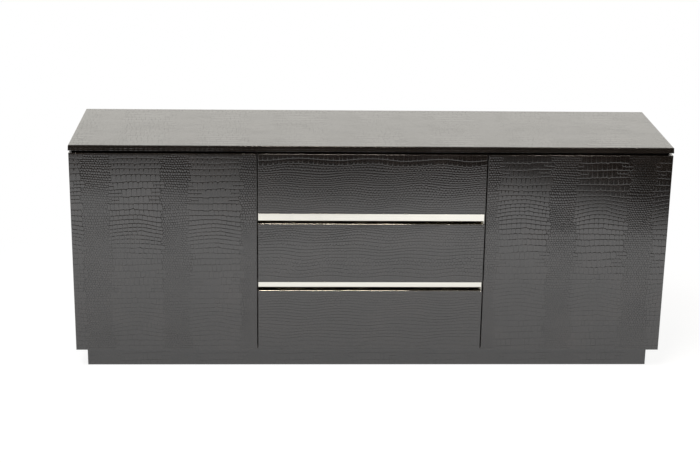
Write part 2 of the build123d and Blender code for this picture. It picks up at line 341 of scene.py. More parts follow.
def hide_group():
    """Tone patches, pores and small creases of the embossed covering."""
    tree, entry, leave = new_group("Hide", {"Patch Scale": 9.0, "Pore Scale": 1500.0}, ("Bloom", "Pores"))
    where = place(tree)
    patches = soft_noise(tree, where, entry["Patch Scale"], detail=8.0)["Fac"]
    tree.links.new(ramp(tree, patches, low=0.42, high=0.72), leave["Bloom"])
    cells = node(tree, "ShaderNodeTexVoronoi", {"Vector": where, "Scale": entry["Pore Scale"]})
    creases = soft_noise(tree, where, scale=220.0, detail=4.0)["Fac"]
    tree.links.new(maths(tree, "MULTIPLY", cells.outputs["Distance"], creases), leave["Pores"])
    return tree


def edge_scale_group():
    """Scales of the covering where it is folded over a board's edges, a little taller than wide."""
    tree, entry, leave = new_group("Edge Scales", {"Scale": 62.0, "Groove": 0.10}, ("Height",))
    where = node(tree, "ShaderNodeMapping", {"Vector": place(tree), "Scale": (1, 1, 0.8)}).outputs["Vector"]
    warp = scaled(tree, soft_noise(tree, where, scale=40.0, detail=1.0)["Color"], factor=0.006)
    inputs = {"Vector": vectors(tree, "ADD", where, warp), "Scale": entry["Scale"], "Randomness": 0.55}
    cells = node(tree, "ShaderNodeTexVoronoi", inputs, feature="DISTANCE_TO_EDGE")
    tree.links.new(ramp(tree, cells.outputs["Distance"], low=0.0, high=entry["Groove"]), leave["Height"])
    return tree


def group_node(tree, maker, name, values=None):
    """Outputs of a shared group, which is made the first time it is asked for."""
    made = tree.nodes.new("ShaderNodeGroup")
    made.node_tree = bpy.data.node_groups.get(name) or maker()
    for key, value in (values or {}).items():
        made.inputs[key].default_value = value
    return made.outputs


def handling(tree, patch_scale, speck_scale):
    """Outputs of the group of dulled patches and specks."""
    values = {"Patch Scale": patch_scale, "Speck Scale": speck_scale}
    return group_node(tree, handling_group, "Handling", values)


def streaks(tree, along, waver=0.0):
    """Output of the group of fine lines, with a frequency along each axis."""
    values = dict(zip(("Along X", "Along Y", "Along Z"), along))
    values["Waver"] = waver
    return group_node(tree, streak_group, "Streaks", values)["Lines"]


def mix_colour(tree, factor, first, second):
    """A colour between two by a factor; each is a plain colour or a socket."""
    inputs = {"Factor": factor}
    for key, value in (("A", first), ("B", second)):
        inputs[key] = value if isinstance(value, bpy.types.NodeSocket) else (*value, 1.0)
    return node(tree, "ShaderNodeMix", inputs, data_type="RGBA").outputs["Result"]


def shaded(colour, share):
    """A colour made darker or lighter."""
    return [channel * share for channel in colour]


def bump(tree, height, distance, strength, under=None):
    """A normal from a height in metres, on top of another bump's normal where one is given."""
    inputs = {"Height": height, "Distance": distance, "Strength": strength}
    if under is not None:
        inputs["Normal"] = under
    return node(tree, "ShaderNodeBump", inputs).outputs["Normal"]


def new_material(name, **constants):
    """A material with a Principled shader, and the shader's inputs that are the same all over."""
    made = bpy.data.materials.new(name)
    made.use_nodes = True
    shader = made.node_tree.nodes["Principled BSDF"]
    for key, value in constants.items():
        shader.inputs[key.replace("_", " ").title().replace("Ior", "IOR")].default_value = value
    return made, made.node_tree, shader.inputs


def finished(name, maker):
    """A material by name, made the first time it is asked for."""
    return bpy.data.materials.get(name) or maker(name, bpy.context.scene.sideboard)


# Gloss of the covering, and its pores
HIDE_IOR = 1.63
COAT = {"coat_roughness": 0.07, "coat_ior": HIDE_IOR}
PORE_DEPTH = 0.00004
PORE_STRENGTH = 0.5

# Grain of the laminates: frequencies along and across it, waver in metres, and contrast
GRAIN_ALONG = 7.0
GRAIN_ACROSS = 160.0
GRAIN_WAVER = 0.004
GRAIN_CONTRAST = 0.35


def grained(tree, grain, colour, contrast):
    """A colour that is darker and lighter by a grain."""
    return mix_colour(tree, grain, shaded(colour, 1 - contrast), shaded(colour, 1 + contrast))


def covering(made, tree, shader, dark, pale, roughness):
    """Puts the covering's tones, dulled patches and pores on a material."""
    link = tree.links.new
    skin = group_node(tree, hide_group, "Hide")
    worn = handling(tree, patch_scale=5.0, speck_scale=700.0)
    link(mix_colour(tree, skin["Bloom"], dark, pale), shader["Base Color"])
    link(span(tree, worn["Dull"], *roughness), shader["Roughness"])
    link(bump(tree, skin["Pores"], PORE_DEPTH, PORE_STRENGTH), shader["Normal"])
    return made


def hide_material(name, settings):
    """Gloss black covering with pores."""
    hide = settings.hide
    made = new_material(name, ior=HIDE_IOR, coat_weight=1.0, **COAT)
    return covering(*made, hide.colour, hide.bloom_colour, roughness=(0.08, 0.15))


def cut_shade_material(name, settings):
    """The covering deep in the cuts between scales, without the gloss and darker: painted shade in place of
    the shadow in the narrow cuts.
    """
    made = new_material(name, ior=HIDE_IOR, specular_ior_level=0.2)
    colour = settings.hide.colour
    # Painted shade: the cut's colour is made darker than the covering's
    return covering(*made, shaded(colour, share=0.6), colour, roughness=(0.5, 0.7))


def folded_hide_material(name, settings, outward):
    """The covering folded over a board's edges, and bare laminate on the side that looks inwards."""
    made, tree, shader = new_material(name, ior=HIDE_IOR, **COAT)
    link = tree.links.new
    hide = settings.hide
    skin = group_node(tree, hide_group, "Hide")
    grain = streaks(tree, (GRAIN_ACROSS, GRAIN_ACROSS, GRAIN_ALONG), GRAIN_WAVER)
    looks = node(tree, "ShaderNodeTexCoord").outputs["Normal"]
    covered = ramp(tree, dot(tree, looks, outward), low=-0.8, high=-0.6)
    bare = grained(tree, grain, settings.boards.inner_colour, GRAIN_CONTRAST)
    black = mix_colour(tree, skin["Bloom"], hide.colour, hide.bloom_colour)
    link(mix_colour(tree, covered, bare, black), shader["Base Color"])
    link(span(tree, covered, low=0.5, high=0.12), shader["Roughness"])
    link(covered, shader["Coat Weight"])
    scales = group_node(tree, edge_scale_group, "Edge Scales")["Height"]
    height = maths(tree, "MULTIPLY", scales, covered)
    relief = bump(tree, height, hide.cut_depth + hide.shoulder_rise, strength=0.8)
    link(bump(tree, skin["Pores"], PORE_DEPTH, PORE_STRENGTH, relief), shader["Normal"])
    return made


OUTWARD = {"front": -BACK, "back": BACK, "left": -RIGHT, "right": RIGHT, "top": UP}


def folded_hide(way):
    """The folded covering of a board that looks one way."""

    def maker(name, settings):
        return folded_hide_material(name, settings, OUTWARD[way])

    return finished(f"Folded Hide {way}", maker)


def pull_material(name, settings):
    """Polished pale plate with hairlines along the pull and a few dulled patches."""
    made, tree, shader = new_material(name, metallic=1.0)
    link = tree.links.new
    hairlines = streaks(tree, along=(3.0, 900.0, 900.0))
    worn = handling(tree, patch_scale=14.0, speck_scale=500.0)
    pale = settings.metal.pull_colour
    link(mix_colour(tree, hairlines, shaded(pale, share=0.93), pale), shader["Base Color"])
    link(span(tree, worn["Dull"], low=0.05, high=0.13), shader["Roughness"])
    link(bump(tree, hairlines, distance=0.000004, strength=0.6), shader["Normal"])
    return made


def plated_steel(name, colour, along, roughness):
    """Plated sheet steel with drawing lines and dull patches."""
    made, tree, shader = new_material(name, metallic=1.0)
    link = tree.links.new
    lines = streaks(tree, along)
    worn = handling(tree, patch_scale=30.0, speck_scale=600.0)
    link(mix_colour(tree, worn["Dull"], colour, shaded(colour, share=0.72)), shader["Base Color"])
    link(span(tree, lines, roughness, roughness + 0.16), shader["Roughness"])
    link(bump(tree, lines, distance=0.00001, strength=0.5), shader["Normal"])
    return made


def hinge_material(name, settings):
    """Nickel plate on the hinges, strike plates and shelf pins."""
    return plated_steel(name, settings.metal.hinge_colour, along=(60.0, 300.0, 300.0), roughness=0.18)


def runner_material(name, settings):
    """Zinc plate on the runners, drawn along the drawers."""
    return plated_steel(name, settings.metal.runner_colour, along=(500.0, 5.0, 500.0), roughness=0.28)


def laminate(name, colour, along, contrast):
    """Matt laminate with a printed grain and a soft relief."""
    made, tree, shader = new_material(name, specular_ior_level=0.35)
    link = tree.links.new
    grain = streaks(tree, along, GRAIN_WAVER)
    worn = handling(tree, patch_scale=8.0, speck_scale=1100.0)
    link(grained(tree, grain, colour, contrast), shader["Base Color"])
    link(span(tree, worn["Dull"], low=0.42, high=0.58), shader["Roughness"])
    link(bump(tree, grain, distance=0.00005, strength=0.5), shader["Normal"])
    return made


def inner_material(name, settings):
    """Black-brown laminate on the inner boards, grain along the length."""
    along = (GRAIN_ALONG, GRAIN_ACROSS, GRAIN_ACROSS)
    return laminate(name, settings.boards.inner_colour, along, GRAIN_CONTRAST)


def upright_material(name, settings):
    """The same laminate on upright boards, grain up and down."""
    along = (GRAIN_ACROSS, GRAIN_ACROSS, GRAIN_ALONG)
    return laminate(name, settings.boards.inner_colour, along, GRAIN_CONTRAST)


def drawer_material(name, settings):
    """Grey laminate on the drawer boxes, grain along each drawer."""
    return laminate(name, settings.boards.drawer_colour, along=(9.0, 9.0, 220.0), contrast=0.22)


def beech_material(name, settings):
    """Beech dowels."""
    return laminate(name, settings.boards.beech_colour, along=(300.0, 300.0, 30.0), contrast=0.18)


def moulded(name, colour, roughness):
    """Moulded plastic or rubber with a fine spark texture."""
    made, tree, shader = new_material(name, specular_ior_level=0.4)
    link = tree.links.new
    worn = handling(tree, patch_scale=40.0, speck_scale=2200.0)
    link(mix_colour(tree, worn["Dull"], colour, shaded(colour, share=1.35)), shader["Base Color"])
    link(span(tree, worn["Specks"], roughness, roughness + 0.15), shader["Roughness"])
    link(bump(tree, worn["Specks"], distance=0.00003, strength=0.5), shader["Normal"])
    return made


def plastic_material(name, settings):
    """Nylon of the latches."""
    return moulded(name, settings.boards.plastic_colour, roughness=0.42)


def rubber_material(name, settings):
    """Rubber of the buffers."""
    return moulded(name, shaded(settings.boards.plastic_colour, share=0.4), roughness=0.62)


def dress(material, *nodes):
    """Gives CAD nodes a material."""
    for name in nodes:
        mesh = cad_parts[name].data
        mesh.materials.clear()
        mesh.materials.append(material)


# Covering

# Distances in metres: what counts as touching, the reach of knots that merge, how far a wall's
# corners stick out, and how close to a face's edges the row lines become straight
TOUCH = 1e-6
KNOT_MERGE = 0.0017
WALL_NOSE = 0.003
EDGE_CALM = 0.02

# How far a cover stands over its face in the cuts, how far it reaches into the board,
# and the angle from which its edges are sharp
COVER_GAP = 0.00004
COVER_ROOT = 0.0004
COVER_SHARP = math.radians(18)

# A scale is broad from this many small scales' width on
BROAD_FROM = 1.25

# Chance in the cuts across a row, as parts of a scale's width: shift down a column, shift in a row, slant
COLUMN_SHIFT = 0.16
ROW_SHIFT = 0.06
CUT_SLANT = 0.04

# How far a cut pulls its row line out of true, as a part of a scale's height, and the chance in it
BROAD_PULL = 0.03
SMALL_PULL = 0.17
PULL_RANGE = (0.3, 1.7)

# Chance in how keen a scale's cuts are and how high it stands
BROAD_UNEVEN = 0.45
SMALL_UNEVEN = 0.12
LIFT_UNEVEN = 0.15

# Longest edge of an outline as a part of a broad scale's width
FINE_STEP = 0.6
COARSE_STEP = 1.2

# How far an outline may move in: least share at a sharp corner, and the part of the way to the middle
CORNER_LEAST = 0.35
INSET_ROOM = 0.45


class Face:
    """A flat face to cover: its upper left corner as seen from outside, and its directions."""

    def __init__(self, corner, across, down, width, height):
        self.corner = Vector(corner)
        self.across = across
        self.down = down
        self.out = across.cross(-down)
        self.width = width
        self.height = height

    def lean(self, share):
        """Tips the face about its upper edge, so that it looks a little upwards."""
        self.down = (self.down + self.out * share).normalized()
        self.out = self.across.cross(-self.down)

    def point(self, along, below, rise):
        """A place on or over the face."""
        return self.corner + self.across * along + self.down * below + self.out * rise


class Layout:
    """Where a face's rows and columns of scales run: broad belly columns between small-scaled flanks."""

    # Small scales: cuts along and across the row, slopes and size as parts of the settings,
    # and how fast the cuts narrow where the embossing is faint
    along_share = 1.35
    across_share = 1.35
    slope_share = 0.45
    small_share = 1.0
    keenness = 1.9

    # Soft patches of deeper and fainter embossing
    patch_swing = 0.3
    patch_scales = (6.0, 10.0)

    # Row lines: wander, sideways tilt of the arches, and the tallest last row in usual rows
    wander = 0.004
    wander_scales = (12.0, 25.0)
    tilt_share = 0.25
    last_row = 1.4

    # Dents: where in a belly column, how far up or down, and half their width
    dent_places = (0.3, 0.75)
    dent_rises = (0.0, 0.0, -0.0035, 0.003)
    dent_reach = 0.009

    # Steps of the repeat of rows, each with its own chance
    repeat_steps = 16

    # Between flank and belly, in broad scales: shift of the walls, width of a column of middling
    # scales and of one such scale; then how often the column is wide, and its part of the belly
    wall_shift = 0.6
    middling_widths = (0.7, 2.2)
    middling_share = 0.75
    wide_chance = 0.3
    wide_share = 0.26

    def __init__(self, hide, seed, first_flank=0.0, first_row=0.0):
        self.hide = hide
        self.seed = seed
        self.first_flank = first_flank
        self.first_row = first_row
        self.repeat = hide.belly_width + hide.flank_width

    def soft(self, along, below, scales):
        """A value between -1 and 1 that changes softly over the face."""
        return noise.noise((along * scales[0], below * scales[1], self.seed))

    def phase(self, below):
        """Place in the repeat of rows, as a part of a whole turn: 0 where rows are tallest."""
        return (below - self.first_row) / self.hide.row_repeat

    def row_height(self, below):
        """Height of the row that starts at a distance below the upper edge."""
        return self.hide.row_height * (1 + self.hide.row_swing * math.cos(2 * math.pi * self.phase(below)))

    def levels(self, height):
        """Rest levels of the row lines, from the upper edge to the lower."""
        found = [0.0]
        while height - found[-1] > self.last_row * self.row_height(found[-1]):
            found.append(found[-1] + self.row_height(found[-1]))
        return found + [height]

    def sway(self, along, below):
        """How far a row line is pushed down from straight."""
        past_flank = along - self.first_flank - self.hide.flank_width
        around = 2 * math.pi * ((past_flank - self.hide.belly_width / 2) / self.repeat)
        turn = math.cos(2 * math.pi * self.phase(below))
        bend = max(0.0, -turn) * math.cos(around) + self.tilt_share * turn * math.sin(around)
        return self.wander * self.soft(along, below, self.wander_scales) - self.hide.arch * bend

    def press(self, along, below):
        """How deep the embossing is, as a part of its full depth: uneven in soft patches."""
        return 1 + self.patch_swing * self.soft(along, below, self.patch_scales)

    def tip(self, below):
        """How much a scale's lower edge stands out over its upper edge, as a slope."""
        return 0.0

    def kink(self, below):
        """A pointed dent in some row lines, at the same place of every belly column."""
        chance = self.chance(below, "kink")
        within = chance.uniform(*self.dent_places) * self.hide.belly_width
        tip = self.first_flank + self.hide.flank_width + within
        rise = chance.choice(self.dent_rises)

        def dent(along):
            away = (along - tip + self.repeat / 2) % self.repeat - self.repeat / 2
            return rise * max(0.0, 1 - abs(away) / self.dent_reach)

        return dent

    def chance(self, below, use):
        """Random numbers that are the same wherever the embossing repeats."""
        step = round(self.phase(below) * self.repeat_steps) % self.repeat_steps
        return random.Random(f"{self.seed} {step} {use}")

    def columns(self, width, below, tall):
        """Columns of one row: start, end, scale width and how many scales stand on each other."""
        hide = self.hide
        broad = hide.belly_scale
        middling = self.middling_share * broad
        small = self.small_share * hide.flank_scale
        chance = self.chance(below, "walls")
        shifts = [chance.uniform(-self.wall_shift, self.wall_shift) * broad for _ in range(2)]
        between = [chance.uniform(*self.middling_widths) * broad for _ in range(2)]
        if chance.random() < self.wide_chance:
            between[0] = self.wide_share * hide.belly_width
        small_parts = max(1, round(tall / small))
        middling_parts = max(1, round(tall / broad))
        start = self.first_flank - self.repeat * math.ceil(self.first_flank / self.repeat + 1)
        found = []
        while start < width:
            low = start + shifts[0]
            turn = start + hide.flank_width + shifts[1]
            high = start + self.repeat + shifts[0]
            found.append((low, turn, small, small_parts))
            found.append((turn, turn + between[0], middling, middling_parts))
            found.append((turn + between[0], high - between[1], broad, 1))
            found.append((high - between[1], high, middling, middling_parts))
            start += self.repeat
        shown = [c for c in found if c[1] > hide.flank_scale and c[0] < width - hide.flank_scale]
        shown[0] = (0.0, *shown[0][1:])
        shown[-1] = (shown[-1][0], width, *shown[-1][2:])
        return shown


class TopLayout(Layout):
    """The same rows and columns, with fine cuts round the small scales."""

    along_share = 0.7
    across_share = 0.3
    small_share = 1.12


class DoorLayout(Layout):
    """The same rows and columns, pressed deepest near the top of a door and faintly at its foot."""

    top_press = 0.98
    foot_press = 0.58
    fade_start = 0.08
    fade_length = 0.44

    def press(self, along, below):
        """Full near the top, then fading evenly."""
        faded = min(1.0, max(0.0, (below - self.fade_start) / self.fade_length))
        return super().press(along, below) * (self.top_press + (self.foot_press - self.top_press) * faded)


class DrawerLayout(Layout):
    """Fine wavy rows all across, under a few tall ones."""

    along_share = 1.4
    across_share = 0.55
    slope_share = 0.65
    keenness = 1.0

    # Tall rows: height as a part of the mean row, depth of embossing and slope of a scale
    tall_row = 0.9
    tall_press = 1.35
    tall_tip = 0.0175

    # Fine rows: chance in their height, and width of a scale in small scales
    row_uneven = 0.15
    fine_share = 1.2

    # Waves of the row lines: height, length along and down the face, and shift from drawer to drawer
    wave = 0.0035
    wave_length = 0.23
    wave_drift = 0.31
    wave_shift = 0.1
    wander = 0.005
    wander_scales = (10.0, 18.0)

    def __init__(self, hide, seed, tall_rows, fine, growth, easing):
        super().__init__(hide, seed)
        self.tall_rows = tall_rows
        self.fine = fine
        self.growth = growth
        self.easing = easing

    def is_tall(self, below):
        """Whether a distance below the upper edge is within the tall rows."""
        return below < self.tall_rows * self.tall_row * self.hide.row_height - TOUCH

    def press(self, along, below):
        """Deepest in the tall rows, and easing off downwards."""
        depth = self.tall_press if self.is_tall(below) else 1 - self.easing * below
        return super().press(along, below) * depth

    def tip(self, below):
        """The scales of the tall rows look a little upwards."""
        return self.tall_tip if self.is_tall(below) else 0.0

    def row_height(self, below):
        """Tall rows first, then fine ones that grow downwards."""
        if self.is_tall(below):
            return self.tall_row * self.hide.row_height
        chance = random.Random(f"{self.seed} {below:.4f}")
        uneven = chance.uniform(1 - self.row_uneven, 1 + self.row_uneven)
        return self.fine * (1 + self.growth * below) * uneven

    def sway(self, along, below):
        """Long waves that drift from row to row."""
        turns = along / self.wave_length + below / self.wave_drift + self.wave_shift * self.seed
        wave = self.wave * math.sin(2 * math.pi * turns)
        return wave + self.wander * self.soft(along, below, self.wander_scales)

    def kink(self, below):
        """No dents."""
        return lambda along: 0.0

    def columns(self, width, below, tall):
        """One column: broad scales in the tall rows and small ones in the fine rows."""
        if self.is_tall(below):
            return [(0.0, width, self.hide.belly_scale, 1)]
        return [(0.0, width, self.fine_share * self.hide.flank_scale, 1)]


class EdgeLayout(Layout):
    """Rows of even bricks along a board's edge."""

    wander = 0.0015
    wander_scales = (20.0, 20.0)

    def row_height(self, below):
        """Half of the mean row."""
        return self.hide.row_height / 2

    def sway(self, along, below):
        """A slight wander."""
        return self.wander * self.soft(along, below, self.wander_scales)

    def columns(self, width, below, tall):
        """One column of broad scales."""
        return [(0.0, width, self.hide.belly_scale, 1)]


class RowLine:
    """A groove along the scales, with a knot wherever a groove across meets it."""

    def __init__(self, level):
        self.level = level
        self.knots = {}

    def add(self, along, pull=0.0):
        """Puts a knot at a place, or takes the one that is already close by."""
        for other in self.knots:
            if abs(other - along) < KNOT_MERGE:
                self.knots[other] = 0.0
                return other
        self.knots[along] = pull
        return along

    def points(self, start, end):
        """Every knot between two places."""
        chosen = sorted(k for k in self.knots if start - TOUCH <= k <= end + TOUCH)
        return [(k, self.level(k) + self.knots[k]) for k in chosen]


class Wall:
    """A groove down through one row, where two columns meet."""

    def __init__(self, upper, lower, along, nose=0.0):
        self.upper = upper
        self.lower = lower
        self.along = along
        self.nose = nose
        self.places = {0.0: upper.add(along), 1.0: lower.add(along)}

    def level(self, part, along):
        """Level at a part of the way down the row."""
        return self.upper.level(along) * (1 - part) + self.lower.level(along) * part

    def meet(self, part):
        """A corner on the wall where a line between stacked scales ends."""
        return self.places.setdefault(part, self.along + self.nose)

    def corners(self, above, under):
        """The corners between two parts of the way down."""
        parts = [part for part in sorted(self.places) if above < part < under]
        return [(self.places[part], self.level(part, self.places[part])) for part in parts]


def row_line(layout, rest, height):
    """The groove at a rest level; at the face's own edges it is straight."""
    fade = min(1.0, rest / EDGE_CALM, (height - rest) / EDGE_CALM)
    kink = layout.kink(rest)
    return RowLine(lambda along: rest + fade * (layout.sway(along, rest) + kink(along)))


def column_lines(upper, lower, walls, parts):
    """The lines over, between and under the stacked scales of one column."""
    lines = [upper]
    for step in range(1, parts):
        part = step / parts
        line = RowLine(lambda along, p=part: upper.level(along) * (1 - p) + lower.level(along) * p)
        for wall in walls:
            line.add(wall.meet(part))
        lines.append(line)
    return lines + [lower]


def cuts_between(start, end, size, staggered, column, row):
    """Places of the grooves across one row between two walls, shifted by chance."""
    count = max(1, round((end - start) / size))
    step = (end - start) / count
    shift = 0.5 if staggered else 1.0
    places = [start + step * (k + shift) for k in range(count if staggered else count - 1)]
    shifted = []
    for spot in places:
        moved = column.uniform(-COLUMN_SHIFT, COLUMN_SHIFT) + row.uniform(-ROW_SHIFT, ROW_SHIFT)
        shifted.append(spot + moved * step)
    return shifted


def row_scales(layout, below, tall, upper, lower, width):
    """Recipes for the outlines of one row's scales, to be drawn once every knot is known."""
    columns = layout.columns(width, below, tall)
    walls = [Wall(upper, lower, start, WALL_NOSE if start else 0.0) for start, _, _, _ in columns]
    walls.append(Wall(upper, lower, width))
    stacks = [column_lines(upper, lower, walls[n : n + 2], c[3]) for n, c in enumerate(columns)]
    recipes = []
    for number, (start, end, size, parts) in enumerate(columns):
        left, right = walls[number], walls[number + 1]
        broad = size > BROAD_FROM * layout.hide.flank_scale
        chance = layout.chance(below, f"{size:.4f} {parts}")
        column = random.Random(layout.seed) if broad else chance
        pull = (BROAD_PULL if broad else SMALL_PULL) * tall / parts
        for step in range(parts):
            above, under = stacks[number][step], stacks[number][step + 1]
            reach = (step / parts, (step + 1) / parts)
            staggered = not broad and (step + round(below / tall) * parts) % 2 == 1
            edges = [(left.places[reach[0]], left.places[reach[1]], left)]
            for cut in cuts_between(start, end, size, staggered, column, chance):
                slant = chance.uniform(-CUT_SLANT, CUT_SLANT) * size
                pulls = [pull * chance.uniform(*PULL_RANGE) for _ in range(2)]
                edges.append((above.add(cut - slant, pulls[0]), under.add(cut + slant, -pulls[1]), None))
            edges.append((right.places[reach[0]], right.places[reach[1]], right))
            for one, other in zip(edges, edges[1:]):
                recipes.append((above, under, one, other, reach, broad))
    return recipes


def outline(above, under, left, right, reach):
    """One scale's corners in order, against the clock as seen from outside."""
    ring = above.points(left[0], right[0])
    if right[2]:
        ring += right[2].corners(*reach)
    ring += under.points(left[1], right[1])[::-1]
    if left[2]:
        ring += left[2].corners(*reach)[::-1]
    return ring[::-1]


def lay_scales(face, layout):
    """The outlines of every scale on a face, each with whether it is broad."""
    levels = layout.levels(face.height)
    lines = [row_line(layout, rest, face.height) for rest in levels]
    recipes = []
    for row, below in enumerate(levels[:-1]):
        tall = levels[row + 1] - below
        recipes += row_scales(layout, below, tall, lines[row], lines[row + 1], face.width)
    return [(outline(*recipe), broad) for *recipe, broad in recipes]


def refined(ring, longest):
    """A ring with its long edges divided."""
    made = []
    for (a, b), (c, d) in zip(ring, ring[1:] + ring[:1]):
        parts = max(1, math.ceil(math.hypot(c - a, d - b) / longest))
        made += [(a + (c - a) * k / parts, b + (d - b) * k / parts) for k in range(parts)]
    return made


def inset(ring, centre, along_width, across_width):
    """A ring moved in from its edges: one width at edges along the row, one at edges across it."""
    sides = []
    for (a, b), (c, d) in zip(ring, ring[1:] + ring[:1]):
        length = math.hypot(c - a, d - b) or 1.0
        width = along_width if abs(c - a) > abs(d - b) else across_width
        sides.append(((d - b) / length, -(c - a) / length, width))
    moved = []
    for number, (along, below) in enumerate(ring):
        p, q = sides[number - 1], sides[number]
        share = max(CORNER_LEAST, 1 + p[0] * q[0] + p[1] * q[1])
        da = (p[0] * p[2] + q[0] * q[2]) / share
        db = (p[1] * p[2] + q[1] * q[2]) / share
        if (centre[0] - along) * da + (centre[1] - below) * db < 0:
            da, db = -da, -db
        room = INSET_ROOM * math.hypot(centre[0] - along, centre[1] - below)
        far = math.hypot(da, db)
        if far > room:
            da, db = da * room / far, db * room / far
        moved.append((along + da, below + db))
    return moved


def profile(layout, pressed, broad, chance):
    """A scale's steps up from the groove: how far in along and across the row, and how high."""
    hide = layout.hide
    uneven = BROAD_UNEVEN if broad else SMALL_UNEVEN
    keen = min(1.0, pressed * chance.uniform(1 - uneven, 1 + uneven))
    lift = pressed * chance.uniform(1 - LIFT_UNEVEN, 1 + LIFT_UNEVEN)
    if broad:
        cuts = (hide.row_cut * keen, hide.scale_cut * keen * keen)
        slopes = (hide.row_shoulder, hide.scale_shoulder)
        slope_rise = hide.shoulder_rise
    else:
        fine = hide.flank_cut * keen**layout.keenness
        cuts = (fine * layout.along_share, fine * layout.across_share)
        slopes = (hide.flank_shoulder, hide.flank_shoulder)
        slope_rise = hide.flank_rise * layout.slope_share
    tops = [cut + slope for cut, slope in zip(cuts, slopes)]
    return (cuts, lift * hide.cut_depth), (tops, lift * (hide.cut_depth + slope_rise))


def band(low, high):
    """Faces between two loops of as many points."""
    return [(low[k - 1], low[k], high[k], high[k - 1]) for k in range(len(low))]


def new_object(name, data):
    """An object in the scene for a mesh, a lamp or a camera."""
    made = bpy.data.objects.new(name, data)
    bpy.context.collection.objects.link(made)
    return made


def emboss(name, face, layout, depth, coarse):
    """A closed mesh of raised scales on a face, standing a little over it."""
    hide = layout.hide
    chance = random.Random(layout.seed)
    longest = hide.belly_scale * (COARSE_STEP if coarse else FINE_STEP)
    points, faces, known, flat, painted_shade_faces = [], [], {}, set(), set()

    def groove(spot):
        key = (round(spot[0], 6), round(spot[1], 6))
        if key not in known:
            known[key] = len(points)
            points.append((*spot, COVER_GAP))
        return known[key]

    for ring, broad in lay_scales(face, layout):
        ring = refined(ring, longest)
        centre = [sum(part) / len(ring) for part in zip(*ring)]
        pressed = depth * layout.press(*centre)
        tip = layout.tip(centre[1])
        steps = profile(layout, pressed, broad, chance)
        loops = [[groove(spot) for spot in ring]]
        for widths, rise in steps:
            start = len(points)
            for spot in inset(ring, centre, *widths):
                points.append((*spot, COVER_GAP + rise + tip * (spot[1] - centre[1])))
            loops.append(list(range(start, len(points))))
        # The first band of faces, down in the cut, takes the second material: painted shade in the cuts
        painted_shade_faces.update(range(len(faces), len(faces) + len(ring)))
        for low, high in zip(loops, loops[1:]):
            faces += band(low, high)
        rim = loops[-1]
        if broad or coarse:
            flat.add(len(faces))
            faces.append(tuple(rim))
        else:
            points.append((*centre, COVER_GAP + steps[-1][1] + pressed * hide.crown))
            faces += [(rim[k - 1], rim[k], len(points) - 1) for k in range(len(rim))]
    faces += closing(face, points, known)
    mesh = bpy.data.meshes.new(name)
    mesh.from_pydata([face.point(*spot) for spot in points], [], faces)
    mesh.set_sharp_from_angle(angle=COVER_SHARP)
    mesh.polygons.foreach_set("use_smooth", [number not in flat for number in range(len(faces))])
    mesh.polygons.foreach_set("material_index", [int(number in painted_shade_faces) for number in range(len(faces))])
    mesh.update()
    return new_object(name, mesh)


def closing(face, points, known):
    """Faces that close a cover: its sides down into the board, and its flat back."""

    def turn(key):
        along, below = key
        if below < TOUCH:
            return (0, along)
        if along > face.width - TOUCH:
            return (1, below)
        if below > face.height - TOUCH:
            return (2, -along)
        return (3, -below)

    def at_edge(key):
        return min(*key, face.width - key[0], face.height - key[1]) < 2 * TOUCH

    edge = sorted(filter(at_edge, known), key=turn)
    upper = [known[key] for key in edge]
    start = len(points)
    points.extend((*key, -COVER_ROOT) for key in edge)
    lower = list(range(start, len(points)))
    return band(upper, lower) + [tuple(lower)]


# What a cover leaves free: a board's rounded edges, and a seam under a pull
EDGE_ROUND = 0.0018
PULL_SEAM = 0.0003


def front_face(node_name, top_trim=EDGE_ROUND):
    """The flat of a front panel inside its rounded edges."""
    low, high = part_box(node_name)
    corner = (low.x + EDGE_ROUND, low.y, high.z - top_trim)
    width = high.x - low.x - 2 * EDGE_ROUND
    height = high.z - low.z - EDGE_ROUND - top_trim
    return Face(corner, RIGHT, -UP, width, height)


def add_cover(name, face, layout, body, depth=1.0, coarse=False):
    """A cover that rides a body."""
    piece = emboss(name, face, layout, depth, coarse)
    piece.data.materials.append(finished("Hide", hide_material))
    # Second material for the cuts, darker and duller: painted shade
    piece.data.materials.append(finished("Hide Cuts", cut_shade_material))
    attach(piece, body)


def upright_faces(node_name):
    """The four upright faces of a board's box, by the way that each one looks."""
    low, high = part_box(node_name)
    wide, deep, tall = high - low
    return {
        "front": Face((low.x, low.y, high.z), RIGHT, -UP, wide, tall),
        "back": Face((high.x, high.y, high.z), -RIGHT, -UP, wide, tall),
        "left": Face((low.x, high.y, high.z), -BACK, -UP, deep, tall),
        "right": Face((high.x, low.y, high.z), BACK, -UP, deep, tall),
    }


# Screws

# Reach and half width of the arms of a screw's cross recess, as parts of its head's radius
CROSS_ARM = 0.5
CROSS_HALF = 0.13

# Rings of a head from its rim inwards, and of the recess down to its floor: reach and rise as such
# parts, and the angle from which a head's edges are sharp
HEAD_RINGS = ((1.0, -0.1), (0.97, 0.25), (0.75, 0.42))
RECESS_RINGS = ((1.0, 0.42), (0.8, 0.12))
SCREW_SHARP = math.radians(40)


def cross_outline():
    """The twelve corners of a cross, against the clock."""
    quarter = [(CROSS_ARM, -CROSS_HALF), (CROSS_ARM, CROSS_HALF), (CROSS_HALF, CROSS_HALF)]
    corners = []
    for _ in range(4):
        corners += quarter
        quarter = [(-b, a) for a, b in quarter]
    return corners


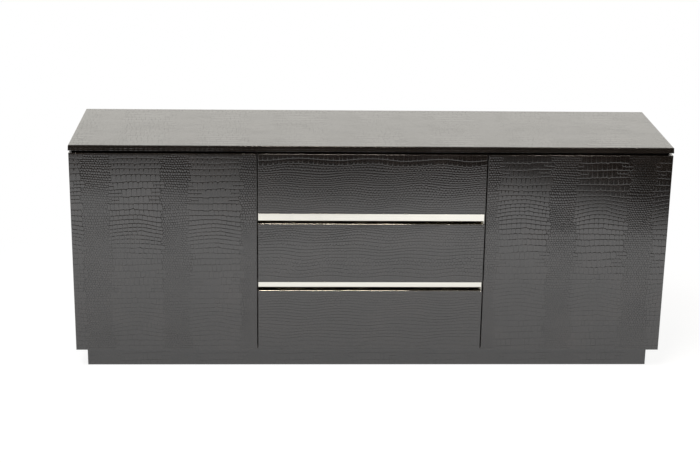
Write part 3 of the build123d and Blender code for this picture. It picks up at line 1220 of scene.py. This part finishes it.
def add_screws(name, spots, out, radius, body):
    """Rounded screw heads with a cross recess, all looking one way."""
    side = out.orthogonal()
    rise_way = out.cross(side)
    cross = cross_outline()
    rounds = [(a / math.hypot(a, b), b / math.hypot(a, b)) for a, b in cross]
    rings = [(rounds, *ring) for ring in HEAD_RINGS] + [(cross, *ring) for ring in RECESS_RINGS]
    points, faces = [], []
    for spot in spots:
        loops = []
        for shape, reach, rise in rings:
            loops.append(range(len(points), len(points) + len(shape)))
            for a, b in shape:
                away = side * (a * reach) + rise_way * (b * reach) + out * rise
                points.append(Vector(spot) + radius * away)
        for low, high in zip(loops, loops[1:]):
            faces += band(low, high)
        faces += [tuple(loops[-1]), tuple(reversed(loops[0]))]
    mesh = bpy.data.meshes.new(name)
    mesh.from_pydata(points, [], faces)
    mesh.shade_smooth()
    mesh.set_sharp_from_angle(angle=SCREW_SHARP)
    mesh.materials.append(finished("Nickel Plate", hinge_material))
    piece = new_object(name, mesh)
    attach(piece, body)


# Operators


class SIDEBOARD_OT_doors(bpy.types.Operator):
    """Covers both doors"""

    bl_idname = "sideboard.doors"
    bl_label = "Doors"

    def execute(self, context):
        hide = context.scene.sideboard.hide
        layouts = {
            "left": DoorLayout(hide, seed=11, first_flank=0.038, first_row=0.118),
            "right": DoorLayout(hide, seed=11, first_flank=-0.052, first_row=0.038),
        }
        for side in SIDES:
            face = front_face(f"{side}_door")
            add_cover(f"{side}_door_cover", face, layouts[side], f"{side}_door")
            dress(folded_hide("front"), f"{side}_door")
        return {"FINISHED"}


class SIDEBOARD_OT_drawer_fronts(bpy.types.Operator):
    """Covers the three drawer fronts"""

    bl_idname = "sideboard.drawer_fronts"
    bl_label = "Drawer Fronts"

    def execute(self, context):
        hide = context.scene.sideboard.hide
        layouts = {
            "top": DrawerLayout(hide, seed=31, tall_rows=2, fine=0.0077, growth=0.4, easing=2.2),
            "middle": DrawerLayout(hide, seed=32, tall_rows=0, fine=0.0085, growth=4.2, easing=0.5),
            "bottom": DrawerLayout(hide, seed=33, tall_rows=0, fine=0.0095, growth=2.0, easing=0.5),
        }
        depths = {"top": 0.82, "middle": 0.75, "bottom": 0.5}
        for name in DRAWERS:
            face = front_face(f"{name}_drawer_front", EDGE_ROUND if name == "top" else PULL_SEAM)
            add_cover(f"{name}_drawer_cover", face, layouts[name], f"{name}_drawer", depths[name])
            dress(folded_hide("front"), f"{name}_drawer_front")
        return {"FINISHED"}


class SIDEBOARD_OT_top(bpy.types.Operator):
    """Covers the top board and its edges"""

    bl_idname = "sideboard.top"
    bl_label = "Top"

    depth = 0.85
    edge_depth = 0.6
    edge_lean = 0.05

    def execute(self, context):
        hide = context.scene.sideboard.hide
        low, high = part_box("top_panel")
        wide, deep, _ = high - low
        corner = (low.x + EDGE_ROUND, high.y - EDGE_ROUND, high.z)
        face = Face(corner, RIGHT, -BACK, wide - 2 * EDGE_ROUND, deep - 2 * EDGE_ROUND)
        layout = TopLayout(hide, seed=51, first_flank=0.06, first_row=0.1)
        add_cover("top_cover", face, layout, "carcass", self.depth, coarse=True)
        for name, edge in upright_faces("top_panel").items():
            edge.corner -= UP * EDGE_ROUND
            edge.height -= EDGE_ROUND
            edge.lean(self.edge_lean)
            add_cover(f"top_{name}_edge_cover", edge, EdgeLayout(hide, seed=52), "carcass", self.edge_depth)
        dress(folded_hide("top"), "top_panel")
        return {"FINISHED"}


class SIDEBOARD_OT_sides(bpy.types.Operator):
    """Covers the side panels"""

    bl_idname = "sideboard.sides"
    bl_label = "Sides"

    def execute(self, context):
        hide = context.scene.sideboard.hide
        for side in SIDES:
            face = upright_faces(f"{side}_side_panel")[side]
            layout = Layout(hide, seed=61, first_flank=0.06, first_row=0.07)
            add_cover(f"{side}_side_cover", face, layout, "carcass")
            dress(folded_hide(side), f"{side}_side_panel")
        return {"FINISHED"}


class SIDEBOARD_OT_plinth(bpy.types.Operator):
    """Covers the plinth"""

    bl_idname = "sideboard.plinth"
    bl_label = "Plinth"

    depth = 0.6

    def execute(self, context):
        hide = context.scene.sideboard.hide
        for name in ("front", "back", "left", "right"):
            face = upright_faces(f"plinth_{name}")[name]
            layout = TopLayout(hide, seed=71, first_flank=0.03, first_row=0.05)
            add_cover(f"plinth_{name}_cover", face, layout, "carcass", self.depth)
            dress(folded_hide(name), f"plinth_{name}")
        return {"FINISHED"}


class SIDEBOARD_OT_pulls(bpy.types.Operator):
    """Finishes the metal finger pulls"""

    bl_idname = "sideboard.pulls"
    bl_label = "Pulls"

    def execute(self, context):
        dress(finished("Pull Plate", pull_material), "middle_drawer_pull", "bottom_drawer_pull")
        return {"FINISHED"}


class SIDEBOARD_OT_carcass(bpy.types.Operator):
    """Finishes the inner boards and the dowels"""

    bl_idname = "sideboard.carcass"
    bl_label = "Carcass"

    def execute(self, context):
        level = ["bottom_panel", "sub_top", "left_shelf", "right_shelf"]
        level += ["top_spacer_strips", "plinth_cross_rails"]
        upright = ("left_partition", "right_partition", "back_panel")
        dress(finished("Inner Laminate", inner_material), *level)
        dress(finished("Upright Laminate", upright_material), *upright)
        dress(finished("Beech", beech_material), "carcass_dowels")
        return {"FINISHED"}


class SIDEBOARD_OT_drawer_boxes(bpy.types.Operator):
    """Finishes the drawer boxes"""

    bl_idname = "sideboard.drawer_boxes"
    bl_label = "Drawer Boxes"

    def execute(self, context):
        pieces = ("box_front", "box_back", "left_side", "right_side", "bottom")
        material = finished("Drawer Laminate", drawer_material)
        dress(material, *(f"{name}_drawer_{piece}" for name in DRAWERS for piece in pieces))
        return {"FINISHED"}


class SIDEBOARD_OT_fittings(bpy.types.Operator):
    """Finishes hinges, runners, latches and shelf pins"""

    bl_idname = "sideboard.fittings"
    bl_label = "Fittings"

    def execute(self, context):
        hinges = ["hinge_arms", "hinge_plates", "shelf_pins"]
        for side in SIDES:
            hinges += [f"{side}_hinge_cups", f"{side}_hinge_pins", f"{side}_strike_plate"]
        dress(finished("Nickel Plate", hinge_material), *hinges)
        runners = ["runner_outers"]
        for name in DRAWERS:
            runners += [f"{name}_runner_middles", f"{name}_runner_inners"]
        dress(finished("Zinc Plate", runner_material), *runners)
        latches = ("latch_bodies", "left_latch_plunger", "right_latch_plunger")
        dress(finished("Nylon", plastic_material), *latches)
        dress(finished("Rubber", rubber_material), "left_door_buffers", "right_door_buffers")
        return {"FINISHED"}


class SIDEBOARD_OT_screws(bpy.types.Operator):
    """Adds screw heads on the back panel and the hinges"""

    bl_idname = "sideboard.screws"
    bl_label = "Screws"

    # Back panel: screws from its edges and corners, how many in a row and on a partition
    edge = 0.009
    corner = 4 * edge
    row_count = 9
    partition_count = 3

    # Heads, and their places on the hinges' cups and plates
    head = 0.0036
    ear_half = 0.026
    ear_screw = 0.0217
    plate_thickness = 0.0045
    plate_screw = 0.0145

    def execute(self, context):
        low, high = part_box("back_panel")
        reach = high.x - self.corner
        rows = [-reach + 2 * reach * k / (self.row_count - 1) for k in range(self.row_count)]
        spots = [(x, high.y, z) for x in rows for z in (low.z + self.edge, high.z - self.edge)]
        partition = sum(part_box("right_partition"), Vector()).x / 2
        parts = self.partition_count + 1
        levels = [low.z + (high.z - low.z) * k / parts for k in range(1, parts)]
        spots += [(x, high.y, z) for x in (-partition, partition) for z in levels]
        add_screws("back_screws", spots, BACK, self.head, "carcass")
        plate_low, plate_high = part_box("hinge_plates")
        plate_y = (plate_low.y + plate_high.y) / 2
        for side, sign in zip(SIDES, (-1, 1)):
            cup_low, cup_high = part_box(f"{side}_hinge_cups")
            cup_x = (cup_low.x + cup_high.x) / 2
            centres = [cup_low.z + self.ear_half, cup_high.z - self.ear_half]
            ears = [(cup_x, cup_high.y, z + d) for z in centres for d in (-self.ear_screw, self.ear_screw)]
            add_screws(f"{side}_cup_screws", ears, BACK, self.head, f"{side}_door")
            plate_x = sign * (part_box("right_side_panel")[0].x - self.plate_thickness)
            holes = (-self.plate_screw, self.plate_screw)
            plates = [(plate_x, plate_y, z + d) for z in centres for d in holes]
            add_screws(f"{side}_plate_screws", plates, -sign * RIGHT, self.head, "carcass")
        return {"FINISHED"}


# Stage

# Width of the camera's sensor in millimetres
SENSOR_WIDTH = 36.0

WHITE = (1.0, 1.0, 1.0)

# Large lamps that do not show in gloss: size, place and what they face, in metres
KEY_LAMP = {"size": (3.2, 2.2), "spot": (-1.2, -1.6, 3.6), "target": (0.0, 0.0, 0.3)}
FRONT_LAMP = {"size": (1.6, 1.2), "spot": (2.6, -3.6, 2.6), "target": (0.0, -0.2, 0.4)}

# Small warm lamps that show in gloss: place along the front and width of each, and what they share
GLINTS = ((-0.03, 0.9), (1.25, 0.4))
GLINT_DEPTH = 0.5
GLINT_BEFORE = -1.6
GLINT_HIGH = 3.9
GLINT_TARGET = (0.0, -0.2, 0.6)
GLINT_COLOUR = (1.0, 0.88, 0.76)

# The floor sheet's outline in metres, how far it lies under the plinth, and its mottling
FLOOR_CORNERS = (
    (-2.0, -3.6),
    (1.4, -3.6),
    (1.7, -2.2),
    (1.95, -1.5),
    (2.6, 3.5),
    (-2.6, 3.5),
    (-2.2, -1.8),
)
FLOOR_DROP = 0.0005
FLOOR_MOTTLE = 0.98

# The floor's shadow to the camera: its shape, and the distances between which it fades
SHADOW_STRETCH = (0.7, 1.0, 0.0)
SHADOW_FADE = (0.9, 1.5)

# The floor in gloss: slant of its front edge, where that edge draws back on the right and how far,
# shares of the light with the distances between which each comes in, and the dimming near the plinth
EDGE_SLANT = (-0.17, 1.0, 0.0)
DRAW_RANGE = (0.84, 2.84)
DRAW_BACK = 1.74
LIGHT_STEPS = ((0.1, -3.5, -3.0), (0.3, -2.98, -2.74), (0.6, -2.85, -2.2))
NEAR_RANGE = (-1.6, -0.3)
NEAR_LIGHT = 0.76

# A dimmer patch of the floor in gloss: the shift that puts its middle at 0, shape, soft edge and light
PATCH_SHIFT = (0.25, 2.5, 0.0)
PATCH_STRETCH = (1.4, 1.6, 0.0)
PATCH_EDGE = (0.3, 1.3)
PATCH_LIGHT = 0.68

# The room in gloss: half width of the change from front to back, and each one's light and tint
ROOM_CHANGE = 0.25
FRONT_LIGHT = 0.03
BACK_LIGHT = 0.9
FRONT_TINT = (1.0, 0.8, 0.55)
BACK_TINT = (1.0, 0.98, 0.92)


def add_lamp(name, power, size, spot, target, mirrored=False, colour=WHITE):
    """A rectangular lamp that faces a target, and may show in gloss."""
    lamp = bpy.data.lights.new(name, "AREA")
    lamp.energy = power
    lamp.color = colour
    lamp.shape = "RECTANGLE"
    lamp.size, lamp.size_y = size
    made = new_object(name, lamp)
    made.visible_glossy = mirrored
    made.location = spot
    made.rotation_euler = (Vector(target) - Vector(spot)).to_track_quat("-Z", "Y").to_euler()


def add_camera(stage):
    """The camera where the photograph was taken from."""
    data = bpy.data.cameras.new("Camera")
    data.sensor_width = SENSOR_WIDTH
    data.sensor_fit = "HORIZONTAL"
    data.lens = stage.lens
    camera = new_object("Camera", data)
    turn = Matrix.Rotation(-stage.camera_turn, 4, "Z")
    tilt = Matrix.Rotation(math.pi / 2 - stage.camera_tilt, 4, "X")
    roll = Matrix.Rotation(stage.camera_roll, 4, "Z")
    camera.matrix_world = Matrix.Translation(stage.camera_place) @ turn @ tilt @ roll
    bpy.context.scene.camera = camera


def floor_light(tree, where):
    """How bright the floor shows in gloss: brightest some way in front, dark past the lit sheet's edge."""
    axes = node(tree, "ShaderNodeSeparateXYZ", {0: where}).outputs
    right = span(tree, axes["X"], 0.0, DRAW_BACK, DRAW_RANGE)
    depth = maths(tree, "SUBTRACT", dot(tree, where, EDGE_SLANT), right)
    far = 0.0
    for share, dark, bright in LIGHT_STEPS:
        part = span(tree, ramp(tree, depth, dark, bright), 0.0, share)
        far = maths(tree, "ADD", far, part)
    near = span(tree, axes["Y"], 1.0, NEAR_LIGHT, NEAR_RANGE)
    off = vectors(tree, "MULTIPLY", vectors(tree, "ADD", where, PATCH_SHIFT), PATCH_STRETCH)
    patch = span(tree, ramp(tree, length_of(tree, off), *PATCH_EDGE), PATCH_LIGHT, 1.0)
    return maths(tree, "MULTIPLY", maths(tree, "MULTIPLY", far, near), patch)


def floor_material(stage):
    """Pale and matt; nearly white to the camera, and in gloss as bright as its light says."""
    made = bpy.data.materials.new("Floor")
    made.use_nodes = True
    tree = made.node_tree
    tree.nodes.clear()
    where = place(tree)
    pale = stage.floor_colour
    mottle = soft_noise(tree, where, scale=3.0, detail=3.0)["Fac"]
    colour = mix_colour(tree, mottle, shaded(pale, FLOOR_MOTTLE), pale)
    matt = node(tree, "ShaderNodeBsdfDiffuse", {"Color": colour}).outputs["BSDF"]
    path = node(tree, "ShaderNodeLightPath").outputs
    level = maths(tree, "MAXIMUM", floor_light(tree, where), path["Is Camera Ray"])
    glow = node(tree, "ShaderNodeEmission", {"Strength": level}).outputs["Emission"]
    mirrored = maths(tree, "MAXIMUM", path["Is Glossy Ray"], path["Is Transmission Ray"])
    away = length_of(tree, vectors(tree, "MULTIPLY", where, SHADOW_STRETCH))
    white = span(tree, ramp(tree, away, *SHADOW_FADE), stage.floor_glow, 1.0)
    seen = maths(tree, "MULTIPLY", path["Is Camera Ray"], white)
    share = maths(tree, "MAXIMUM", mirrored, seen)
    mixed = node(tree, "ShaderNodeMixShader", {0: share, 1: matt, 2: glow}).outputs["Shader"]
    node(tree, "ShaderNodeOutputMaterial", {"Surface": mixed})
    return made


def add_floor(stage):
    """A pale floor sheet that ends in front; in gloss it fades towards the dark room there."""
    mesh = bpy.data.meshes.new("floor")
    corners = [(x, y, -FLOOR_DROP) for x, y in FLOOR_CORNERS]
    mesh.from_pydata(corners, [], [tuple(range(len(corners)))])
    mesh.materials.append(floor_material(stage))
    new_object("floor", mesh)


def add_world():
    """White to the camera; in mirrors white behind the object and dark in the room before it."""
    world = bpy.data.worlds.new("Studio")
    bpy.context.scene.world = world
    world.use_nodes = True
    tree = world.node_tree
    tree.nodes.clear()
    way = node(tree, "ShaderNodeTexCoord").outputs["Generated"]
    axes = node(tree, "ShaderNodeSeparateXYZ", {0: way}).outputs
    behind = ramp(tree, axes["Y"], -ROOM_CHANGE, ROOM_CHANGE)
    lit = span(tree, behind, FRONT_LIGHT, BACK_LIGHT)
    tint = mix_colour(tree, behind, FRONT_TINT, BACK_TINT)
    seen = node(tree, "ShaderNodeLightPath").outputs["Is Camera Ray"]
    strength = node(tree, "ShaderNodeMix", {"Factor": seen, "A": lit, "B": 1.0}).outputs["Result"]
    inputs = {"Color": mix_colour(tree, seen, tint, WHITE), "Strength": strength}
    glow = node(tree, "ShaderNodeBackground", inputs).outputs["Background"]
    node(tree, "ShaderNodeOutputWorld", {"Surface": glow})


class SIDEBOARD_OT_stage(bpy.types.Operator):
    """Adds the camera, floor and light"""

    bl_idname = "sideboard.stage"
    bl_label = "Stage"

    def execute(self, context):
        stage = context.scene.sideboard.stage
        add_camera(stage)
        add_floor(stage)
        add_world()
        add_lamp("Key Lamp", stage.key_power, **KEY_LAMP)
        add_lamp("Front Lamp", stage.fill_power, **FRONT_LAMP)
        for number, (along, width) in enumerate(GLINTS):
            size = (width, GLINT_DEPTH)
            spot = (along, GLINT_BEFORE, GLINT_HIGH)
            power = stage.glint_power * width
            add_lamp(f"Glint Lamp {number}", power, size, spot, GLINT_TARGET, True, GLINT_COLOUR)
        context.scene.view_settings.view_transform = "Standard"
        return {"FINISHED"}


PIECES = (
    SIDEBOARD_OT_top,
    SIDEBOARD_OT_sides,
    SIDEBOARD_OT_doors,
    SIDEBOARD_OT_drawer_fronts,
    SIDEBOARD_OT_plinth,
    SIDEBOARD_OT_pulls,
    SIDEBOARD_OT_carcass,
    SIDEBOARD_OT_drawer_boxes,
    SIDEBOARD_OT_fittings,
    SIDEBOARD_OT_screws,
    SIDEBOARD_OT_stage,
)


class SIDEBOARD_PT_panel(bpy.types.Panel):
    """Lists the pieces and their settings"""

    bl_idname = "SIDEBOARD_PT_panel"
    bl_label = "Sideboard"
    bl_space_type = "VIEW_3D"
    bl_region_type = "UI"
    bl_category = "Sideboard"

    def draw(self, context):
        for piece in PIECES:
            self.layout.operator(piece.bl_idname)
        settings = context.scene.sideboard
        for part in (settings.hide, settings.metal, settings.boards, settings.stage):
            box = self.layout.box()
            for key in part.__annotations__:
                box.prop(part, key)


GROUPS = (HideSettings, MetalSettings, BoardSettings, StageSettings, SideboardSettings)


def register():
    """Makes the classes and the scene's settings known."""
    for kind in (*GROUPS, *PIECES, SIDEBOARD_PT_panel):
        bpy.utils.register_class(kind)
    bpy.types.Scene.sideboard = PointerProperty(type=SideboardSettings)


def unregister():
    """Takes back what register did."""
    del bpy.types.Scene.sideboard
    for kind in reversed((*GROUPS, *PIECES, SIDEBOARD_PT_panel)):
        bpy.utils.unregister_class(kind)


def main():
    register()
    for piece in PIECES:
        group, name = piece.bl_idname.split(".")
        getattr(getattr(bpy.ops, group), name)()


if __name__ == "__main__":
    main()
